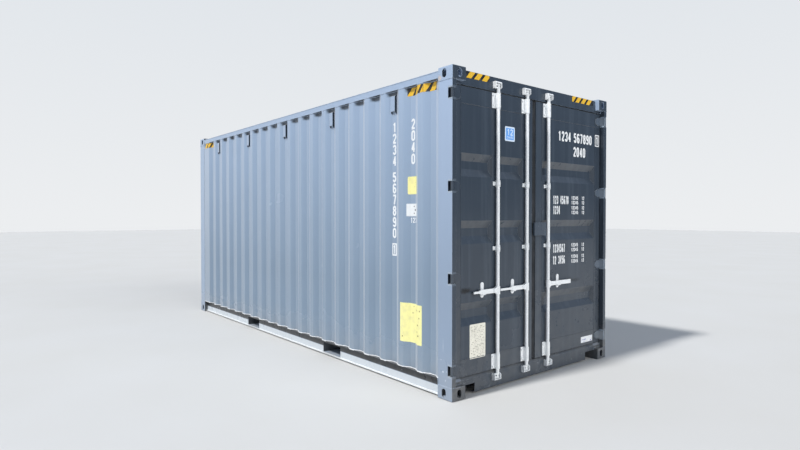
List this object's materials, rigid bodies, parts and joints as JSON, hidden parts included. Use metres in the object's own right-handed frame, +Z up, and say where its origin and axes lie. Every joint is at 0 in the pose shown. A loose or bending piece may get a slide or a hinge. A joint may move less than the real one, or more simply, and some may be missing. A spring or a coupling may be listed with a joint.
{
  "type": "twenty-foot high-cube shipping container",
  "caption": "Corrugated steel cargo box with corner castings, plywood floor, fork pockets and swinging end doors closed by turning lock bars with lifting handles.",
  "frame": {"origin": "centre of the footprint, on the plane of the bottom faces of the corner castings", "axes": "+X along the container towards the doors, +Y to the right seen from outside the doors, +Z up"},
  "size_m": [6.058, 2.438, 2.896],
  "materials": {
    "paint": "semi-gloss anthracite",
    "galvanised_steel": "galvanised",
    "rubber": "matt",
    "plywood": "varnished"
  },
  "bodies": {
    "frame": {"bottom_corner_castings": "paint", "top_corner_castings": "paint", "left_rear_post": "paint", "right_rear_post": "paint", "front_posts": "paint", "top_side_rails": "paint", "bottom_side_rails": "paint", "front_top_rail": "paint", "front_bottom_rail": "paint", "door_header": "paint", "door_sill": "paint", "corner_gussets": "paint", "left_side_wall": "paint", "right_side_wall": "paint", "front_wall": "paint", "roof_panel": "paint", "roof_end_plates": "paint", "wall_vents": "paint", "crossmembers": "paint", "fork_pocket_plates": "paint", "floor_panel": "plywood", "hinge_lugs": "paint", "cam_keepers": "galvanised_steel"},
    "left_door": {"left_door_stiles": "paint", "left_door_members": "paint", "left_door_panel": "paint", "left_door_seal": "rubber", "left_hinge_blades": "paint", "left_bar_brackets": "galvanised_steel", "left_handle_catches": "galvanised_steel"},
    "right_door": {"right_door_stiles": "paint", "right_door_members": "paint", "right_door_panel": "paint", "right_door_seal": "rubber", "right_hinge_blades": "paint", "right_bar_brackets": "galvanised_steel", "right_handle_catch": "galvanised_steel", "overlap_plate": "paint"},
    "lock_bar_1": {"lock_bar_1": "galvanised_steel"},
    "lock_bar_2": {"lock_bar_2": "galvanised_steel"},
    "lock_bar_3": {"lock_bar_3": "galvanised_steel"},
    "handle_1": {"handle_1": "galvanised_steel"},
    "handle_2": {"handle_2": "galvanised_steel"},
    "handle_3": {"handle_3": "galvanised_steel"}
  },
  "joints": [
    {"name": "left_door_swing", "type": "hinge", "parent": "frame", "child": "left_door", "pos_m": [3.012, -1.205, 1.46], "axis": [0, 0, -1], "range_deg": [0, 266]},
    {"name": "right_door_swing", "type": "hinge", "parent": "frame", "child": "right_door", "pos_m": [3.012, 1.205, 1.46], "axis": [0, 0, 1], "range_deg": [0, 266]},
    {"name": "lock_bar_1_turn", "type": "hinge", "parent": "left_door", "child": "lock_bar_1", "pos_m": [3.001, -0.6, 1.46], "axis": [0, 0, -1], "range_deg": [-105, 0]},
    {"name": "lock_bar_2_turn", "type": "hinge", "parent": "left_door", "child": "lock_bar_2", "pos_m": [3.001, -0.172, 1.46], "axis": [0, 0, -1], "range_deg": [-105, 0]},
    {"name": "lock_bar_3_turn", "type": "hinge", "parent": "right_door", "child": "lock_bar_3", "pos_m": [3.001, 0.172, 1.46], "axis": [0, 0, 1], "range_deg": [-105, 0]},
    {"name": "handle_1_lift", "type": "hinge", "parent": "lock_bar_1", "child": "handle_1", "pos_m": [3.001, -0.652, 0.914], "axis": [-1, 0, 0], "range_deg": [0, 25]},
    {"name": "handle_2_lift", "type": "hinge", "parent": "lock_bar_2", "child": "handle_2", "pos_m": [3.001, -0.224, 0.914], "axis": [-1, 0, 0], "range_deg": [0, 25]},
    {"name": "handle_3_lift", "type": "hinge", "parent": "lock_bar_3", "child": "handle_3", "pos_m": [3.001, 0.224, 0.914], "axis": [1, 0, 0], "range_deg": [0, 25]}
  ]
}
